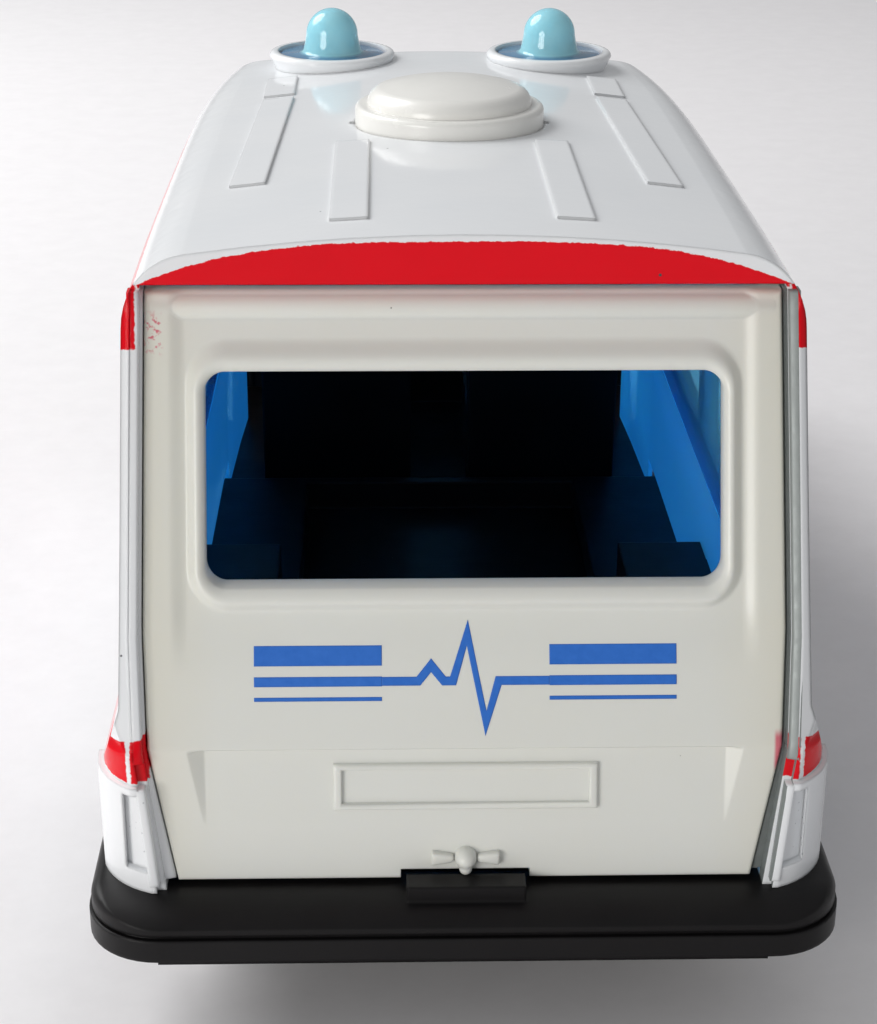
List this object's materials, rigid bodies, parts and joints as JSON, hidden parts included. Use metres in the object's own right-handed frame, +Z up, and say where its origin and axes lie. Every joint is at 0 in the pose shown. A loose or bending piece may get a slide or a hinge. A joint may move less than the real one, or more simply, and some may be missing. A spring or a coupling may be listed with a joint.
{
  "type": "toy ambulance",
  "caption": "Die-cast toy ambulance, an estate car with raised roof, roof beacons and vent, top-hinged tailgate that opens, and rolling wheels.",
  "frame": {"origin": "on the ground, under the middle of the toy's overall length and width", "axes": "+X to the toy's right as seen from behind, +Y in its driving direction, so that the tailgate faces -Y, +Z up"},
  "size_m": [0.0422, 0.115, 0.0483],
  "materials": {
    "body_paint": "glossy white lacquer with red bands on die-cast metal",
    "cream_plastic": "cream moulded plastic",
    "black_plastic": "satin black moulded plastic",
    "steel": "bare steel wire",
    "rivet_metal": "bare rivets",
    "blue_glazing": "clear blue moulded plastic",
    "beacon_blue": "light blue clear moulded plastic",
    "lamp_clear": "clear moulded plastic",
    "grille_plastic": "black moulded plastic",
    "hub_silver": "silver-finished plastic",
    "tyre_black": "soft black plastic tyre"
  },
  "bodies": {
    "toy_body": {"body_shell": "body_paint", "tailgate_pin": "steel", "chassis_base": "black_plastic", "base_rivets": "rivet_metal", "interior_tub": "black_plastic", "steering_wheel": "black_plastic", "side_glass_left": "blue_glazing", "side_glass_right": "blue_glazing", "windscreen": "blue_glazing", "roof_vent": "cream_plastic", "beacon_left": "beacon_blue", "beacon_right": "beacon_blue", "headlamp_left": "lamp_clear", "headlamp_right": "lamp_clear", "grille": "grille_plastic"},
    "tailgate_body": {"tailgate": "cream_plastic"},
    "rear_wheelset": {"rear_axle": "steel", "rear_hub_left": "hub_silver", "rear_hub_right": "hub_silver", "rear_tyre_left": "tyre_black", "rear_tyre_right": "tyre_black"},
    "front_wheelset": {"front_axle": "steel", "front_hub_left": "hub_silver", "front_hub_right": "hub_silver", "front_tyre_left": "tyre_black", "front_tyre_right": "tyre_black"}
  },
  "joints": [
    {"name": "tailgate_hinge", "type": "hinge", "parent": "toy_body", "child": "tailgate_body", "pos_m": [0, -0.04355, 0.0403], "axis": [-1, 0, 0], "range_deg": [0, 75]},
    {"name": "rear_axle_turn", "type": "hinge", "parent": "toy_body", "child": "rear_wheelset", "pos_m": [0, -0.0365, 0.0074], "axis": [-1, 0, 0], "continuous": true},
    {"name": "front_axle_turn", "type": "hinge", "parent": "toy_body", "child": "front_wheelset", "pos_m": [0, 0.0355, 0.0074], "axis": [-1, 0, 0], "continuous": true}
  ]
}
